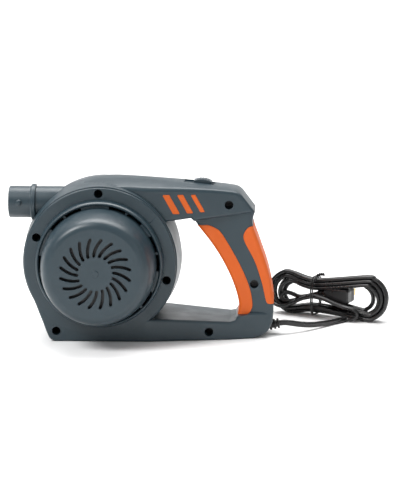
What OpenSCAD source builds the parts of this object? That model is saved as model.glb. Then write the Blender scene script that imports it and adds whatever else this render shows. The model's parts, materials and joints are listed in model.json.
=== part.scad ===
// Electric air mattress pump: a drum casing with a side outlet and a D-shaped handle.
// Millimetres. The origin lies on the base plane, on the parting plane of the casing, straight below the
// drum's axis. +X points to the handle, -X is the way the outlet blows, +Y is the deflate side, +Z is up.

/* [Casing] */
// Height of the drum's axis above the base
axis_h = 75; // [74.5:0.25:76]
// Radius of the drum at the parting plane
drum_r = 75; // [74:0.25:76]
// Radius of the drum's rim at its front and rear faces
rim_r = 71; // [70:0.25:72]
// Depth of the front shell at the drum
front_depth = 40; // [39:0.25:41]
// Depth of the rear shell at the drum
rear_depth = 38; // [37:0.25:39]
// Wall thickness of the casing
wall = 2.5; // [2:0.1:3]
// Half the thickness of the grip
grip_half = 19; // [18:0.25:20]
// Radius of the recesses over the casing screws
recess_r = 4.1; // [3.8:0.1:4.4]

/* [Outlet and deflate port] */
// Height of the outlet's axis above the drum's axis
outlet_z = 51; // [50.5:0.25:51.5]
// Outer radius of both spigots
spigot_r = 15; // [14.5:0.25:15.5]
// Bore radius of both spigots
bore_r = 13.2; // [12.8:0.1:13.4]
// Distance from the drum's axis to the outlet's tip
outlet_tip = 88.5; // [86:0.5:92]
// How far the deflate port stands out of the rear shell
port_len = 10; // [8:0.5:14]

/* [Cooling cover] */
// Radius of the cooling cover where it meets the casing
cover_r = 53.4; // [53:0.1:53.8]
// Distance from the parting plane to the front of the cover
cover_front = 88; // [88:0.5:92]
// Number of curved slots in the cover
slot_count = 20; // [14:1:22]
// Width of one slot
slot_w = 2.9; // [2:0.1:3]

/* [Motor and impeller] */
// Radius of the motor's shaft
shaft_r = 2.5; // [2:0.1:3]
// Radius of the impeller
impeller_r = 46; // [44:0.5:46]
// Number of impeller blades
blade_count = 9; // [7:1:11]
// Width across the stator's core
stator_w = 56; // [54:0.5:57]
// Radius of the armature
armature_r = 16.6; // [16:0.1:16.8]

/* [Switch] */
// Travel of the switch's slider
switch_travel = 7; // [5:0.5:7.5]

/* [Cord] */
// Width of the flat twin cord
cord_w = 5.6; // [5.2:0.1:6]
// Thickness of the flat twin cord
cord_t = 4; // [3.6:0.1:4]
// Length of the hank of folded cord
hank_len = 124; // [122:1:126]
// Height of the hank's round ends
hank_h = 44.6; // [44:0.1:46]
// Thickness of the hank
hank_t = 16; // [15:0.5:17]

/* [Hidden] */
$fn = 64;

slate = [0.29, 0.34, 0.37];
orange = [0.88, 0.42, 0.16];
black = [0.06, 0.06, 0.07];
steel = [0.62, 0.63, 0.65];
copper = [0.72, 0.42, 0.22];
brass = [0.80, 0.65, 0.32];
cream = [0.86, 0.84, 0.78];

eps = 0.01;
slip = 0.02;       // gap round a pin or tube that a fixed part holds
running = 0.04;    // radial clearance of the shaft in its bearings
inlay = 1.4;       // depth of the orange inlays in the casing
proud = 0.5;       // how far the orange inlays stand out of the casing

// Outlines in the XZ plane, measured from the drum's axis.
top_line = [[-16, 73.6], [-6, 75.6], [7, 76.6], [20, 76.6], [45, 75.2], [83, 72.2], [106, 69.7], [122, 67.3], [128, 65.6], [132, 62.6]];
back_line = [[144.2, 45.8], [142.4, 40], [142.1, 35], [143.2, 28.5]];
grip_outer = [[143.2, 28.5], [149, 12.4], [155.6, -7], [159.6, -24], [161.6, -38], [162.1, -50]];
heel_line = [[161.2, -60], [158, -66.8], [151.6, -72.2], [143, -axis_h]];
grip_inner = [[88.5, 36], [92.3, 31.2], [101.7, 19.2], [111.2, 5.2], [120.6, -12.5], [127, -29], [130, -42.2],
    [129.8, -48]];
finger_edge = [[95, 33.1], [101, 33], [107, 30.4], [112, 26.6], [120.8, 12.8], [132.1, -8.2], [139.6, -27.2],
    [142.1, -41.6], [141, -47.3], [138, -51.3], [131, -52]];
palm_edge = [[142.5, 33.2], [138.5, 31.4], [134.6, 26.5], [133.5, 21.5], [135.9, 14.8], [144.3, -1.4],
    [150.9, -21.4], [154.6, -37.6], [157, -41.6], [163, -41.6]];
gap_rest = [[129, -51.5], [126, -56.6], [121, -57.8], [64, -54], [40, -53], [40, 36.5], [64.8, 37.8], [84.5, 40.4]];
foot = [[-69.2, -17.2], [-49.4, -69.4], [-47, -73.4], [-43, -axis_h], [150, -axis_h], [120, -45], [0, 0]];

// Half thickness of the arms in plan, as [x, y] pairs.
upper_plan = [[-30, 33], [40, 30], [145, 20.5], [170, 20.5]];
lower_plan = [[-90, 40], [42, 40], [120, 28], [147, 21.5], [158, 19], [170, 16]];
crown_slope = 0.18;
upper_low = [[40, 30], [84, 39], [92, 38.5], [140, 45], [170, 45], [170, 90], [-30, 90], [-30, 30]];

// Casing screws as [x, z] from the drum's axis.
screw_at = [[-0.7, 65.8], [-58.8, 24.2], [62.3, -15.6], [-41.4, -64.8], [101.5, -66.8], [119.9, 53], [143.7, -23]];
screw_seat = 10;      // depth of the screw heads' seat from the parting plane
screw_reach = 12;     // how far the screws run into the rear shell

// Stripes on the upper arm: left end of the top edge and width.
stripe_at = [[58, 6.4], [71.5, 5.7], [84.2, 4.4]];
stripe_top = 63;
stripe_low = [45, 45.6, 46.6];
stripe_slant = 0.55;

// Cooling cover.
lip_r = 56.2;
vent_angles = [12, 62, 125, 189, 253, 315];
cover_hole_r = 44;
cover_boss_at = 46.6;

// Stations along the shaft, in Y.
plate_y = [-16, -12];
volute_top = 14;
bracket_t = 3;
stator_y = [-54, -28];
brush_y = -64;
front_bracket_y = -76;
bearing_r = 8;
bearing_t = 5;
brush_z = 10.3;

// Scroll round the impeller.
scroll_r0 = 48;
scroll_growth = 8;
scroll_start = 132;
scroll_sweep = 318;
plate_screw_at = [for (a = [205, 262, 318, 28]) [62 * cos(a), 62 * sin(a)]];
motor_hole_at = [[20.5, 20.5], [-20.5, -20.5]];
mount_hole_at = [[0, 24], [0, -24]];

// Switch on the upper arm. Its top slopes down to the handle.
switch_slope = 4.6;
slider_x = 94.9;
switch_top = 70.6;

// Cord: the lead's route, in the row's frame, and the hank's place.
relief_start = [146, 0, 5.8];
relief_tilt = 12;
clamp_z = [4.6, 13];
lead_route = [
    [167.5, 0, 10.4], [173, 0.5, 10.8], [179, 2.2, 9.8], [186, 6, 8], [193, 11.4, 6.2], [200, 17.6, 4.8],
    [207, 25, 3.9], [214, 32.6, 3.2], [220.5, 39.6, 2.9], [227, 45.2, 2.9], [234.5, 47.6, 2.9], [239.5, 51.5, 3.2]
];
hank_at = [215.4, 69];
hank_yaw = -23.6;
tie_u = -12.4;
waist = [3, 38.5];
window_z = [15.5, 33];
plug_u = [-1.5, 24];
plug_h = 14.5;
plug_y = [-8, 10];

switch_wires = [
    [[124, -2.6, 9], [127.5, -8.5, 12], [136, -8.5, 17], [143, -8.5, 25], [142, -3, 36], [135, 4, 52],
        [128.5, 4, 75], [119, 4, 97], [102, 4, 114], [96, 4, 120]],
    [[124, 2.6, 9], [121.5, -3, 10.5], [126, -10.9, 12.5], [136, -11.1, 18], [143, -11.1, 26], [142, -7.5, 37],
        [135, -4, 52], [128.5, -4, 75], [119, -4, 97], [102, -4, 114], [96, -4, 120]]
];
motor_wires = [
    [[86, -4, 120], [79, -8, 123], [62, -18, 128], [44, -24, 124], [18, -34, 112], [10, -52, 108], [4, -62, 103.4]],
    [[86, 4, 120], [76, 0, 121], [62, -18, 122], [48, -27, 115], [42, -32, 90], [36, -36, 58], [30, -46, 46],
        [16, -60, 44], [4, -62, 46.6]]
];

// ---- helpers ----

function unit(v) = v / norm(v);
function normal(a, b) = unit([b[1] - a[1], a[0] - b[0]]);
function turned_in(a, b, c, d) = let (m = normal(a, b), n = normal(b, c)) b - d * (m + n) / (1 + m * n);

// A closed outline moved inwards by d. The outline runs anticlockwise.
function inset(p, d) = let (n = len(p)) [for (i = [0:n - 1]) turned_in(p[(i + n - 1) % n], p[i], p[(i + 1) % n], d)];

// A smooth curve through the points, with n steps between each pair.
function curve(p, n = 4) = concat(
    [for (i = [0:len(p) - 2], k = [0:n - 1]) bend(p[max(i - 1, 0)], p[i], p[i + 1], p[min(i + 2, len(p) - 1)], k / n)],
    [p[len(p) - 1]]);
function bend(a, b, c, d, t) =
    (2 * b + (c - a) * t + (2 * a - 5 * b + 4 * c - d) * t * t + (3 * b - a - 3 * c + d) * t * t * t) / 2;
function arc(c, r, a0, a1, n = 24) = [for (i = [0:n]) let (a = a0 + (a1 - a0) * i / n) c + r * [cos(a), sin(a)]];
function after_first(p) = [for (i = [1:len(p) - 1]) p[i]];
function reversed(p) = [for (i = [len(p) - 1:-1:0]) p[i]];
function moved(p, d) = [for (q = p) q + d];
function polar(r, a) = [r * cos(a), r * sin(a)];

// Extrudes an XZ outline, measured from the drum's axis, from y0 to y1.
module slab(y0, y1) {
    translate([0, y1, axis_h]) rotate([90, 0, 0]) linear_extrude(y1 - y0) children();
}

// A cylinder along Y from y0 to y1 at [x, z] from the drum's axis.
module rod(at, r, y0, y1) {
    translate([at[0], y0, axis_h + at[1]]) rotate([-90, 0, 0]) cylinder(h = y1 - y0, r = r);
}

// A cone frustum along Y on the drum's axis.
module frustum(y0, r0, y1, r1) {
    translate([0, y0, axis_h]) rotate([-90, 0, 0]) cylinder(h = y1 - y0, r1 = r0, r2 = r1, $fn = 128);
}

// A tube along Y on the drum's axis.
module ring(r0, r1, y0, y1) {
    difference() {
        rod([0, 0], r1, y0, y1, $fn = 96);
        rod([0, 0], r0, y0 - 1, y1 + 1, $fn = 96);
    }
}

// A body turned round the drum's axis from [radius, y] points.
module turned() {
    translate([0, 0, axis_h]) rotate([-90, 0, 0]) rotate_extrude($fn = 128) children();
}

// A cylinder along X at the outlet's axis.
module outlet_rod(r, x0, x1) {
    translate([x0, 0, axis_h + outlet_z]) rotate([0, 90, 0]) rotate(45) cylinder(h = x1 - x0, r = r);
}

// A box given by its lowest corner and its highest corner, measured from the drum's axis.
module block(low, high) {
    translate([low[0], low[1], axis_h + low[2]]) cube(high - low);
}

// A tube swept along a route, with an elliptic section that stands upright.
module sweep(route, half_w, half_h, sides = 8) {
    n = len(route);
    rings = [for (i = [0:n - 1])
        let (t = unit(route[min(i + 1, n - 1)] - route[max(i - 1, 0)]),
            s = unit(cross(t, [0, 0, 1])),
            u = cross(s, t))
        [for (k = [0:sides - 1]) route[i] + half_w * cos(360 * k / sides) * s + half_h * sin(360 * k / sides) * u]];
    points = [for (r = rings, q = r) q];
    skin = [for (i = [0:n - 2], k = [0:sides - 1])
        [i * sides + k, i * sides + (k + 1) % sides, (i + 1) * sides + (k + 1) % sides, (i + 1) * sides + k]];
    polyhedron(points, concat(skin, [[for (k = [sides - 1:-1:0]) k], [for (k = [0:sides - 1]) (n - 1) * sides + k]]));
}

// A screw with its head's seat at y0, pointing along dir, which is 1 for +Y.
module screw(at, y0, dir, reach, head_r = 3.4, shank_r = 1.5, head_t = 2.4) {
    translate([at[0], y0, axis_h + at[1]]) rotate([-90 * dir, 0, 0]) {
        difference() {
            translate([0, 0, -head_t]) cylinder(h = head_t, r = head_r, $fn = 32);
            for (a = [0, 90]) rotate(a) translate([-2, -0.5, -head_t - 1]) cube([4, 1, 2.2]);
        }
        translate([0, 0, -eps]) cylinder(h = reach + eps, r = shank_r, $fn = 24);
    }
}

// ---- casing ----

function handle_outline() = concat(curve(top_line, 3), curve(back_line, 3), after_first(curve(grip_outer, 3)),
    curve(heel_line, 3), [[0, -axis_h]]);
function gap_outline() = concat(curve(grip_inner, 3), gap_rest);

// Plan polygon of an arm, grown outwards by d, on the front side.
function plan(p, d = 0) = concat([for (q = p) [q[0], -q[1] - d]], [[170, 2], [p[0][0], 2]]);

module plan_prism(p, d, z0, z1) {
    translate([0, 0, axis_h + z0]) linear_extrude(z1 - z0) polygon(plan(p, d));
}

// All that lies under the upper arm's crown, which falls away from the parting plane to both sides.
module roof(d) {
    translate([0, 0, axis_h + 77.6 + d]) rotate([0, 4.3, 0]) rotate([90, 0, 90]) linear_extrude(500, center = true)
        polygon([[3, -250], [3, 0], [-3, 0], [-63, -60 * crown_slope], [-63, -250]]);
}

// The handle's solid on the front side, at most depth deep. d moves its faces outwards, and over runs it
// past the parting plane.
module handle_half(depth, d, over) {
    intersection() {
        roof(d);
        slab(-depth - d, over) difference() {
            polygon(inset(reversed(handle_outline()), -d));
            polygon(inset(reversed(gap_outline()), d));
        }
        union() {
            intersection() {
                plan_prism(upper_plan, d, 20, 90);
                slab(-60, 2) polygon(inset(upper_low, -d));
            }
            plan_prism(lower_plan, d, -90, -50 + d);
            block([60, -grip_half - d, -90], [170, 2, 60]);
        }
    }
}

// One casing half on the front side, depth deep at the drum. d and over are those of handle_half.
module half_solid(depth, d = 0, over = 0) {
    frustum(-depth + 4, rim_r + 1 + d, over, drum_r + d);
    frustum(-depth - d, rim_r + d, over, rim_r + d);
    intersection() {
        slab(-depth - d, over) polygon(inset(foot, -d));
        plan_prism(lower_plan, depth - 40 + d, -90, 10);
        slab(-60, 2) polygon([[-90, 10], [-90, -90], [66, -90], [66, -54], [20, 10]]);
    }
    handle_half(depth, d, over);
}

// The orange inlays' spaces on the front side.
module finger_pad_space() {
    band = concat(curve(grip_inner, 3), [[129, -51.5]]);
    difference() {
        slab(-grip_half - proud, 0) polygon(concat(band, reversed(curve(finger_edge, 3))));
        slab(-grip_half + inlay, eps) polygon(concat(moved(band, [1.5, 0.5]), [[170, -51], [170, 36.5]]));
    }
}

module palm_pad_space() {
    band = concat(curve(grip_outer, 3), [[162, -50]]);
    intersection() {
        difference() {
            slab(-grip_half - proud, 0) polygon(concat(moved(band, [proud, 0]), reversed(curve(palm_edge, 3))));
            slab(-grip_half + inlay, eps) polygon(concat(moved(band, [-inlay, 0]), [[90, -50], [90, 50]]));
        }
        slab(-60, eps) polygon([[100, -41.6], [170, -41.6], [170, 60], [100, 60]]);
    }
}

module stripe_space() {
    intersection() {
        slab(-60, 0) for (i = [0:2]) let (s = stripe_at[i], low = stripe_low[i], dx = (stripe_top - low) * stripe_slant)
            polygon([[s[0], stripe_top], [s[0] + dx, low], [s[0] + dx + s[1], low], [s[0] + s[1], stripe_top]]);
        difference() {
            plan_prism(upper_plan, proud / 2, 20, 90);
            plan_prism(upper_plan, -inlay, 19, 91);
        }
    }
}

// What both halves lose: the outlet's seat, the switch's slot and its shallow recess.
module shared_cuts() {
    outlet_rod(spigot_r + slip, -95, -31.5);
    outlet_rod(spigot_r + 2.1 + slip, -95, -62.5 + slip);
    translate([slider_x, 0, axis_h + switch_top]) rotate([0, switch_slope, 0]) {
        translate([-12.5 - switch_travel / 2, -2.6, -9]) cube([19 + switch_travel, 5.2, 14]);
        translate([-10.5 - switch_travel, -7, -1]) cube([22 + switch_travel, 14, 12]);
    }
}

module outlet_socket() {
    outlet_rod(spigot_r + 2.5, -66, -42);
}

// Ribs that hold the switch's two ends.
module switch_ribs() {
    for (x = [80.5, 107.5]) block([x, -16, 50], [x + 1.5, 0, 73]);
}

module front_shell() {
    color(slate) difference() {
        union() {
            difference() {
                union() {
                    half_solid(front_depth);
                    turned() polygon([[cover_r + slip, -front_depth + 1], [cover_r + slip, -48], [lip_r, -48], [lip_r, -49],
                        [57.4, -49.6], [58.8, -48.6], [59.8, -front_depth + 1]]);
                }
                half_solid(front_depth, -wall, 1);
            }
            intersection() {
                half_solid(front_depth, -0.6);
                union() {
                    for (p = screw_at) rod(p, recess_r + 2, -60, 0);
                    for (p = plate_screw_at) rod(p, 4, -60, plate_y[0]);
                    outlet_socket();
                    switch_ribs();
                }
            }
        }
        for (p = screw_at) {
            rod(p, recess_r, -60, -screw_seat);
            rod(p, 1.7, -60, 1);
        }
        for (p = plate_screw_at) rod(p, 1.5 - eps, -front_depth + wall, plate_y[0] + 1);
        for (i = [0:2]) rod(polar(cover_boss_at, 90 + 120 * i), 1.7, -60, -20);
        rod([0, 0], cover_hole_r, -60, -front_depth + wall + 1);
        slab(-60, -front_depth + wall + 1) cooling_vents();
        finger_pad_space();
        palm_pad_space();
        stripe_space();
        shared_cuts();
        relief_rod(4.6, -10, 30);
        relief_rod(5.5, 8, 30);
        strain_relief_collar(slip);
    }
}

// Twelve arcs where the motor's cooling air leaves.
module cooling_vents() {
    for (a = vent_angles, s = [-1, 1]) intersection() {
        difference() {
            circle(lip_r, $fn = 128);
            circle(cover_r, $fn = 128);
        }
        polygon([[0, 0], polar(80, a + s * 9.5 - 8.7), polar(80, a + s * 9.5 + 8.7)]);
    }
}

module rear_shell() {
    color(slate) difference() {
        union() {
            mirror([0, 1, 0]) difference() {
                half_solid(rear_depth);
                half_solid(rear_depth, -wall, 1);
            }
            mirror([0, 1, 0]) intersection() {
                half_solid(rear_depth, -0.6);
                union() {
                    for (p = screw_at) rod(p, 4.5, -screw_reach - 3, 0);
                    for (p = screw_at) rod(p, 3, -60, -screw_reach - 2);
                    outlet_socket();
                    switch_ribs();
                    block([128.5, -12, 1 - axis_h], [135.5, -cord_t / 2, 15.4 - axis_h]);
                }
            }
        }
        for (p = screw_at) rod(p, 1.5 - eps, -1, screw_reach + 1);
        rod([0, 0], spigot_r + slip, rear_depth - 10, rear_depth + 1);
        for (z = clamp_z) rod([132, z - axis_h], 1.1 + slip, 0, 5);
        mirror([0, 1, 0]) finger_pad_space();
        mirror([0, 1, 0]) palm_pad_space();
        mirror([0, 1, 0]) stripe_space();
        shared_cuts();
        relief_rod(4.6, -10, 30);
        relief_rod(5.5, 8, 30);
        strain_relief_collar(slip);
    }
}

module front_finger_pad() { color(orange) finger_pad_space(); }
module rear_finger_pad() { color(orange) mirror([0, 1, 0]) finger_pad_space(); }
module front_palm_pad() { color(orange) palm_pad_space(); }
module rear_palm_pad() { color(orange) mirror([0, 1, 0]) palm_pad_space(); }
module front_stripes() { color(orange) stripe_space(); }
module rear_stripes() { color(orange) mirror([0, 1, 0]) stripe_space(); }

// ---- cover, outlet and port ----

// The cover's profile as [radius, y] from its foot to the edge of its flat front.
function cover_profile() = concat(
    [[cover_r, -front_depth], [cover_r, -front_depth - 16]],
    curve([[52.9, -63], [51.6, -70], [49.2, -77], [47.2, -82], [45.4, -85.6], [41.5, -cover_front]], 3));

// One curved slot: it starts radial and sweeps clockwise as it runs outwards.
module slot() {
    inner = 15.4;
    outer = 33.2;
    function mid(r) = polar(r, 113 - 17 * pow((r - inner) / (outer - inner), 1.2));
    side = [for (i = [0:6]) let (r = inner + slot_w / 2 + (outer - inner - slot_w) * i / 6) mid(r)];
    left = [for (i = [0:6]) side[i] + slot_w / 2 * normal(side[max(i - 1, 0)], side[min(i + 1, 6)])];
    right = [for (i = [0:6]) side[i] - slot_w / 2 * normal(side[max(i - 1, 0)], side[min(i + 1, 6)])];
    polygon(concat(left, round_end(side[5], side[6], side[6]), reversed(right), round_end(side[1], side[0], side[0])));
}

// The points between the two corners of a slot's end, which is round about c and points from a to b.
function round_end(a, b, c) = let (n = normal(a, b), t = atan2(n[1], n[0]))
    [for (k = [1:5]) c + slot_w / 2 * [cos(t + 30 * k), sin(t + 30 * k)]];

module motor_cover() {
    color(slate) difference() {
        union() {
            turned() difference() {
                polygon(concat([[0, -cover_front]], reversed(cover_profile()), [[0, -front_depth]]));
                polygon(concat([[0, -cover_front + 2.2]], [for (p = reversed(cover_profile())) p + [-2.4, 2.2]],
                    [[0, -front_depth + 2.2]]));
            }
            for (i = [0:2]) rod(polar(cover_boss_at, 90 + 120 * i), 4.8, -front_depth - 14, -front_depth);
            rod([0, 0], 3, -cover_front - 0.4, -cover_front + 1);
        }
        slab(-cover_front - 2, -cover_front + 4) for (i = [0:slot_count - 1]) rotate(360 * i / slot_count) slot();
        for (i = [0:2]) rod(polar(cover_boss_at, 90 + 120 * i), 1.5 - eps, -front_depth - 11, -front_depth + 1);
    }
}

module outlet_nozzle() {
    color(slate) difference() {
        union() {
            outlet_rod(spigot_r, -outlet_tip, -32);
            outlet_rod(spigot_r + 2.1, -67, -62.5);
            for (s = [-1, 1]) translate([-outlet_tip + 10, 0, axis_h + outlet_z]) rotate([s * 96, 0, 0])
                cylinder(h = spigot_r + 1, r = 2, $fn = 24);
        }
        outlet_rod(bore_r, -outlet_tip - 1, -31);
    }
}

module deflate_port() {
    color(slate) difference() {
        union() {
            rod([0, 0], spigot_r, rear_depth - 8, rear_depth + port_len, $fn = 96);
            rod([0, 0], spigot_r + 4, rear_depth - wall - 2.5, rear_depth - wall, $fn = 96);
        }
        rod([0, 0], bore_r, rear_depth - 9, rear_depth + port_len + 1, $fn = 96);
    }
}

module intake_grille() {
    color(slate) {
        ring(bore_r - 0.6, spigot_r + 2, rear_depth - 10, rear_depth - 8 - slip);
        intersection() {
            rod([0, 0], bore_r, rear_depth - 10, rear_depth - 8 - slip);
            for (a = [0, 60, 120]) translate([0, rear_depth - 9, axis_h]) rotate([0, a, 0]) cube([40, 3, 1.4], center = true);
        }
    }
}

// ---- fasteners ----

module casing_screws() {
    color(steel) for (p = screw_at) screw(p, -screw_seat, 1, screw_seat + screw_reach);
}

module cover_screws() {
    color(steel) for (i = [0:2]) screw(polar(cover_boss_at, 90 + 120 * i), -front_depth + wall, -1, 12);
}

module plate_screws() {
    color(steel) for (p = plate_screw_at) screw(p, plate_y[1] + 2, -1, 16);
}

module mount_screws() {
    color(steel) for (p = mount_hole_at) screw(p, plate_y[1] - 2, -1, 10, 3.4, 1.5, 1.9);
}

module motor_screws() {
    color(steel) for (p = motor_hole_at)
        screw(p, front_bracket_y, 1, -front_bracket_y + stator_y[1] + 6, 3.4, 1.8);
}

module clamp_screws() {
    color(steel) for (z = clamp_z) translate([132, -5, z]) rotate([-90, 0, 0]) {
        translate([0, 0, -1.6]) cylinder(h = 1.6, r = 1.9, $fn = 24);
        cylinder(h = 9, r = 1.1, $fn = 24);
    }
}

// ---- air path ----

function scroll_at(a, extra = 0) = polar(scroll_r0 + extra + scroll_growth * (a - scroll_start) / scroll_sweep, a);

module volute_outline(extra) {
    steps = 48;
    ends = [[-8, 57.5 + extra], [-31.8, 60.4 + extra]];
    polygon(concat([for (i = [0:steps]) scroll_at(scroll_start + scroll_sweep * i / steps, extra)], ends,
        [[-31.8, 36 - extra]]));
}

module volute_housing() {
    color(cream) difference() {
        union() {
            slab(plate_y[1], volute_top) difference() {
                volute_outline(2);
                volute_outline(0);
                polygon([[-40, 38], [-31, 38], [-31, 63.8], [-40, 63.8]]);
            }
            slab(volute_top, volute_top + 2) volute_outline(2);
            slab(plate_y[1], plate_y[1] + 2) difference() {
                for (p = plate_screw_at) hull() {
                    translate(p) circle(4.5, $fn = 32);
                    translate(p * 0.9) circle(4.5, $fn = 32);
                }
                volute_outline(1);
            }
        }
        rod([0, 0], 19, volute_top - 1, volute_top + 3);
        for (p = plate_screw_at) rod(p, 1.7, plate_y[1] - 1, plate_y[1] + 3);
        for (p = screw_at) rod(p, recess_r + 2.3, plate_y[1] - 1, volute_top + 3);
        outlet_rod(spigot_r + 0.2, -95, -31.9);
    }
}

module fan_plate() {
    color(cream) difference() {
        rod([0, 0], 69.5, plate_y[0], plate_y[1], $fn = 128);
        rod([0, 0], 7, plate_y[0] - 1, plate_y[1] + 1);
        for (p = screw_at) rod(p, recess_r + 2.3, plate_y[0] - 1, plate_y[1] + 1);
        for (p = plate_screw_at) rod(p, 1.7, plate_y[0] - 1, plate_y[1] + 1);
        for (p = mount_hole_at) {
            rod(p, 1.7, plate_y[0] - 1, plate_y[1] + 1);
            rod(p, 3.8, plate_y[1] - 2, plate_y[1] + 1);
        }
        outlet_rod(spigot_r + 2.8, -95, -41.8);
        outlet_rod(spigot_r + 0.3, -95, -31.8);
    }
}

module blade(r0, r1, y0, y1, thick, lean) {
    mid = [for (i = [0:8]) let (r = r0 + (r1 - r0) * i / 8) polar(r, -lean * (r - r0) / (r1 - r0))];
    left = [for (i = [0:8]) mid[i] + thick / 2 * normal(mid[max(i - 1, 0)], mid[min(i + 1, 8)])];
    right = [for (i = [0:8]) mid[i] - thick / 2 * normal(mid[max(i - 1, 0)], mid[min(i + 1, 8)])];
    slab(y0, y1) polygon(concat(left, reversed(right)));
}

module impeller() {
    color(cream) difference() {
        union() {
            rod([0, 0], impeller_r, -10.5, -8.5, $fn = 96);
            rod([0, 0], 8, -10.5, -2);
            for (i = [0:blade_count - 1]) translate([0, 0, axis_h]) rotate([0, 360 * i / blade_count, 0])
                translate([0, 0, -axis_h]) blade(15, impeller_r - 0.5, -8.6, 9.1, 1.6, 42);
            ring(20, impeller_r, 9, 10.5);
        }
        rod([0, 0], shaft_r + slip, -12, 0);
    }
}

module impeller_nut() {
    color(steel) difference() {
        rod([0, 0], 4.6, -2, 2, $fn = 6);
        rod([0, 0], shaft_r + slip, -3, 3);
    }
}

module cooling_fan() {
    color(cream) difference() {
        union() {
            rod([0, 0], 6, -84, -78);
            rod([0, 0], 36, -80.8, -79.4, $fn = 96);
            for (i = [0:9]) translate([0, 0, axis_h]) rotate([0, 36 * i, 0]) translate([0, 0, -axis_h])
                blade(5, 35.5, -84, -80.7, 1.2, 20);
        }
        rod([0, 0], shaft_r + slip, -85, -77);
    }
}

// ---- motor ----

module motor_shaft() {
    color(steel) rod([0, 0], shaft_r, -84.5, 4);
}

module bearing(y0) {
    color(steel) ring(shaft_r + running, bearing_r, y0, y0 + bearing_t);
}

module front_bearing() { bearing(front_bracket_y - 1); }
module rear_bearing() { bearing(plate_y[0] - 7); }

// A bracket plate with a bearing hub, two posts to the stator and a bar across.
module bracket(y0, hub_y, posts_y, bar_reach, bar_holes) {
    color(steel) difference() {
        union() {
            translate([0, y0 + bracket_t / 2, axis_h]) rotate([0, -45, 0])
                cube([2 * norm(motor_hole_at[0]), bracket_t, 12], center = true);
            block([-5, y0, -bar_reach], [5, y0 + bracket_t, bar_reach]);
            rod([0, 0], 11, hub_y, hub_y + bearing_t);
            for (p = motor_hole_at) {
                rod(p, 6, y0, y0 + bracket_t);
                rod(p, 3.4, posts_y[0], posts_y[1]);
            }
        }
        rod([0, 0], bearing_r + slip, hub_y - 1, hub_y + bearing_t + 1);
        for (p = motor_hole_at) rod(p, 1.8 + slip, -90, 0);
        for (p = bar_holes) rod(p, 1.5 + slip, -90, 0);
    }
}

module front_bracket() {
    bracket(front_bracket_y, front_bracket_y - 1, [front_bracket_y, stator_y[0]], 26, []);
    color(steel) for (s = [-1, 1]) translate([0, 0, axis_h]) mirror([0, 0, s < 0 ? 1 : 0])
        translate([-4, front_bracket_y, 14]) cube([8, -front_bracket_y + brush_y - 4.5, 12]);
}

module rear_bracket() {
    bracket(plate_y[0] - 5, plate_y[0] - 7, [stator_y[1], plate_y[0] - 2], 28, mount_hole_at);
}

module motor_dampers() {
    color(black) for (p = mount_hole_at) difference() {
        rod(p, 5, plate_y[0] - 2, plate_y[0]);
        rod(p, 1.7, plate_y[0] - 3, plate_y[0] + 1);
    }
}

module stator_core() {
    half = stator_w / 2;
    color(steel) slab(stator_y[0], stator_y[1]) difference() {
        polygon([[-half, -half + 6], [-half + 6, -half], [half - 6, -half], [half, -half + 6], [half, half - 6],
            [half - 6, half], [-half + 6, half], [-half, half - 6]]);
        circle(armature_r + 0.6);
        for (p = motor_hole_at) translate(p) circle(1.8 + slip, $fn = 32);
        for (sx = [-1, 1], sz = [-1, 1]) translate([sx * 21.5, sz * 14]) square([6.1, 6.1], center = true);
    }
}

module field_coils() {
    color(copper) for (s = [-1, 1]) difference() {
        block([s * 21.5 - 3, stator_y[0] - 5, -17], [s * 21.5 + 3, stator_y[1] + 5, 17]);
        block([s * 21.5 - 4, stator_y[0] - 0.3, -11], [s * 21.5 + 4, stator_y[1] + 0.3, 11]);
    }
}

module armature_core() {
    color(steel) slab(-53, -29) difference() {
        circle(armature_r);
        circle(shaft_r + slip, $fn = 32);
        for (a = [0:30:330]) rotate(a) translate([9, -1.3]) square([10, 2.6]);
    }
}

module armature_coils() {
    color(copper) {
        ring(shaft_r + 1.5, 14.5, -58.5, -53);
        ring(shaft_r + 1.5, 14.5, -29, -24.5);
        for (a = [0:30:330]) slab(-53.5, -28.5) rotate(a) translate([9.1, -1.2]) square([5, 2.4]);
    }
}

module commutator() {
    color(copper) difference() {
        ring(shaft_r + slip, 10, -69, -58.5);
        for (a = [7:15:172]) translate([0, -65, axis_h]) rotate([0, a, 0]) difference() {
            cube([30, 9, 0.5], center = true);
            cube([18.4, 10, 1], center = true);
        }
    }
}

module brush_pair(low, high, half_w, half_y) {
    for (s = [-1, 1]) translate([0, brush_y, axis_h]) mirror([0, 0, s < 0 ? 1 : 0])
        translate([-half_w, -half_y, low]) cube([2 * half_w, 2 * half_y, high - low]);
}

module brush_holders() {
    color(brass) difference() {
        brush_pair(13, 27, 4.6, 4.5);
        brush_pair(12, 26, 3.6, 3.5);
    }
}

module carbon_brushes() { color(black) brush_pair(brush_z, 21, 3.55, 3.45); }
module brush_springs() {
    color(steel) for (s = [0, 180]) translate([0, brush_y, axis_h]) rotate([0, s, 0]) difference() {
        translate([0, 0, 21]) cylinder(h = 5, r = 3);
        translate([0, 0, 20]) cylinder(h = 7, r = 2.2);
    }
}

// ---- switch and wiring ----

module at_switch() {
    translate([slider_x, 0, axis_h + switch_top]) rotate([0, switch_slope, 0]) children();
}

module switch_slider() {
    color(slate) at_switch() {
        intersection() {
            translate([0, 6, -17.3]) rotate([90, 0, 0]) cylinder(h = 12, r = 21, $fn = 128);
            translate([-8.6, -6, -0.6]) cube([17.2, 12, 5]);
        }
        translate([-3, -2, -10.4]) cube([6, 4, 10.2]);
    }
}

module switch_body() {
    color(black) difference() {
        block([82, -7, 50], [107.5, 7, 62]);
        block([84, -2.4, 60], [105, 2.4, 63]);
    }
}

module switch_terminals() {
    color(brass) for (x = [86, 96], y = [-4, 4]) block([x - 0.4, y - 2.4, 46], [x + 0.4, y + 2.4, 50]);
}

module capacitor() {
    color(cream) block([62, 8, 46], [76, 17, 60]);
}

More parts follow.
